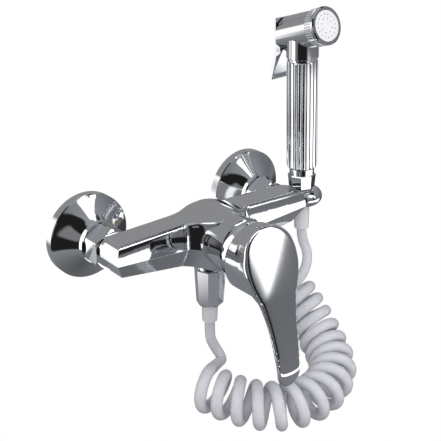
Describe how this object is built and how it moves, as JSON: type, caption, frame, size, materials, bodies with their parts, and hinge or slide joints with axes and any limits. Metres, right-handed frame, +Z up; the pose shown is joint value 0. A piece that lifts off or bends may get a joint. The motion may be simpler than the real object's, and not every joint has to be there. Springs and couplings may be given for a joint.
{
  "type": "bidet shower mixer",
  "caption": "Wall-mounted single-lever mixer with a side holder, a trigger hand spray and a curly hose that joins its outlet to the spray.",
  "frame": {"origin": "axis of the left inlet on the finished wall plane", "axes": "+X along the wall from the left inlet to the right one, +Y into the wall along the inlets, +Z up; the lever faces -Y"},
  "size_m": [0.2217, 0.1599, 0.2995],
  "materials": {
    "chrome": "mirror polished chrome plate",
    "rubber": "matt black rubber",
    "dark_plastic": "moulded dark plastic",
    "ceramic": "lapped white ceramic",
    "brass": "turned bare brass",
    "white_plastic": "satin white plastic",
    "hose": "smooth milky polyurethane",
    "steel": "plain stainless steel",
    "pale_plate": "pale satin face",
    "plug_plastic": "grey plastic plug"
  },
  "bodies": {
    "root": {"left_wall_union": "brass", "right_wall_union": "brass", "left_escutcheon": "chrome", "right_escutcheon": "chrome", "left_union_nut": "chrome", "right_union_nut": "chrome", "left_union_washer": "rubber", "right_union_washer": "rubber", "left_inlet_nipple": "chrome", "right_inlet_nipple": "chrome", "left_inlet_filter": "dark_plastic", "right_inlet_filter": "dark_plastic", "mixer_body": "chrome", "cartridge_base": "dark_plastic", "cartridge_port_seals": "rubber", "ceramic_fixed_disc": "ceramic", "cartridge_housing": "dark_plastic", "cartridge_nut": "brass", "dome_ring": "chrome", "outlet_nipple": "brass", "outlet_washer": "rubber", "lower_hose_tail": "brass", "lower_hose_nut": "chrome", "lower_hose_collar": "white_plastic", "hose_lower_run": "hose", "hose_coil": "hose", "handset_holder": "chrome", "holder_screw": "steel"},
    "turret": {"cartridge_turret": "dark_plastic", "spindle_pivot_pin": "steel"},
    "lever": {"lever_handle": "chrome", "lever_grub_screw": "steel", "lever_screw_plug": "plug_plastic", "lever_spindle": "steel"},
    "moving_disc": {"ceramic_moving_disc": "ceramic", "disc_carrier": "dark_plastic"},
    "hose_end": {"upper_hose_collar": "white_plastic", "upper_hose_tail": "brass", "hose_upper_run": "hose"},
    "handset": {"handset_hose_nut": "chrome", "handset_washer": "rubber", "handset_inlet": "chrome", "grip_water_tube": "dark_plastic", "fluted_grip": "chrome", "spray_head": "chrome", "knurled_collar": "chrome", "spray_plate": "pale_plate", "spray_diffuser": "dark_plastic", "valve_seat": "dark_plastic", "trigger_pin": "steel"},
    "trigger": {"trigger": "chrome"},
    "valve": {"valve_stem": "steel", "valve_rubber": "rubber", "valve_spring": "steel"}
  },
  "joints": [
    {"name": "lever_turn", "type": "hinge", "parent": "root", "child": "turret", "pos_m": [0.075, -0.091, 0], "axis": [0, 1, 0], "range_deg": [-45, 45]},
    {"name": "lever_lift", "type": "hinge", "parent": "turret", "child": "lever", "pos_m": [0.075, -0.091, 0], "axis": [-1, 0, 0], "range_deg": [0, 17]},
    {"name": "disc_shift", "type": "slide", "parent": "turret", "child": "moving_disc", "axis": [0, 0, -1], "range_m": [0, 0.0024]},
    {"name": "handset_lift", "type": "slide", "parent": "root", "child": "hose_end", "axis": [-0.0257, 0.0242, 0.9994], "range_m": [0, 0.03], "deforming": ["hose_upper_run"]},
    {"name": "handset_swivel", "type": "hinge", "parent": "hose_end", "child": "handset", "pos_m": [0.17309, -0.04681, 0.008], "axis": [-0.0257, 0.0242, 0.9994], "range_deg": [-180, 180]},
    {"name": "trigger_pull", "type": "hinge", "parent": "handset", "child": "trigger", "pos_m": [0.17025, -0.02953, 0.11857], "axis": [-0.9997, 0, -0.0257], "range_deg": [0, 14], "stiffness_Nm_per_rad": 0.6, "springref_deg": -11.46},
    {"name": "valve_travel", "type": "slide", "parent": "handset", "child": "valve", "axis": [0.0081, 0.949, -0.3153], "range_m": [0, 0.0025]}
  ],
  "couplings": [
    {"joint": "disc_shift", "follows": "lever_lift", "m_per_rad": 0.008},
    {"joint": "valve_travel", "follows": "trigger_pull", "m_per_rad": 0.0102}
  ]
}
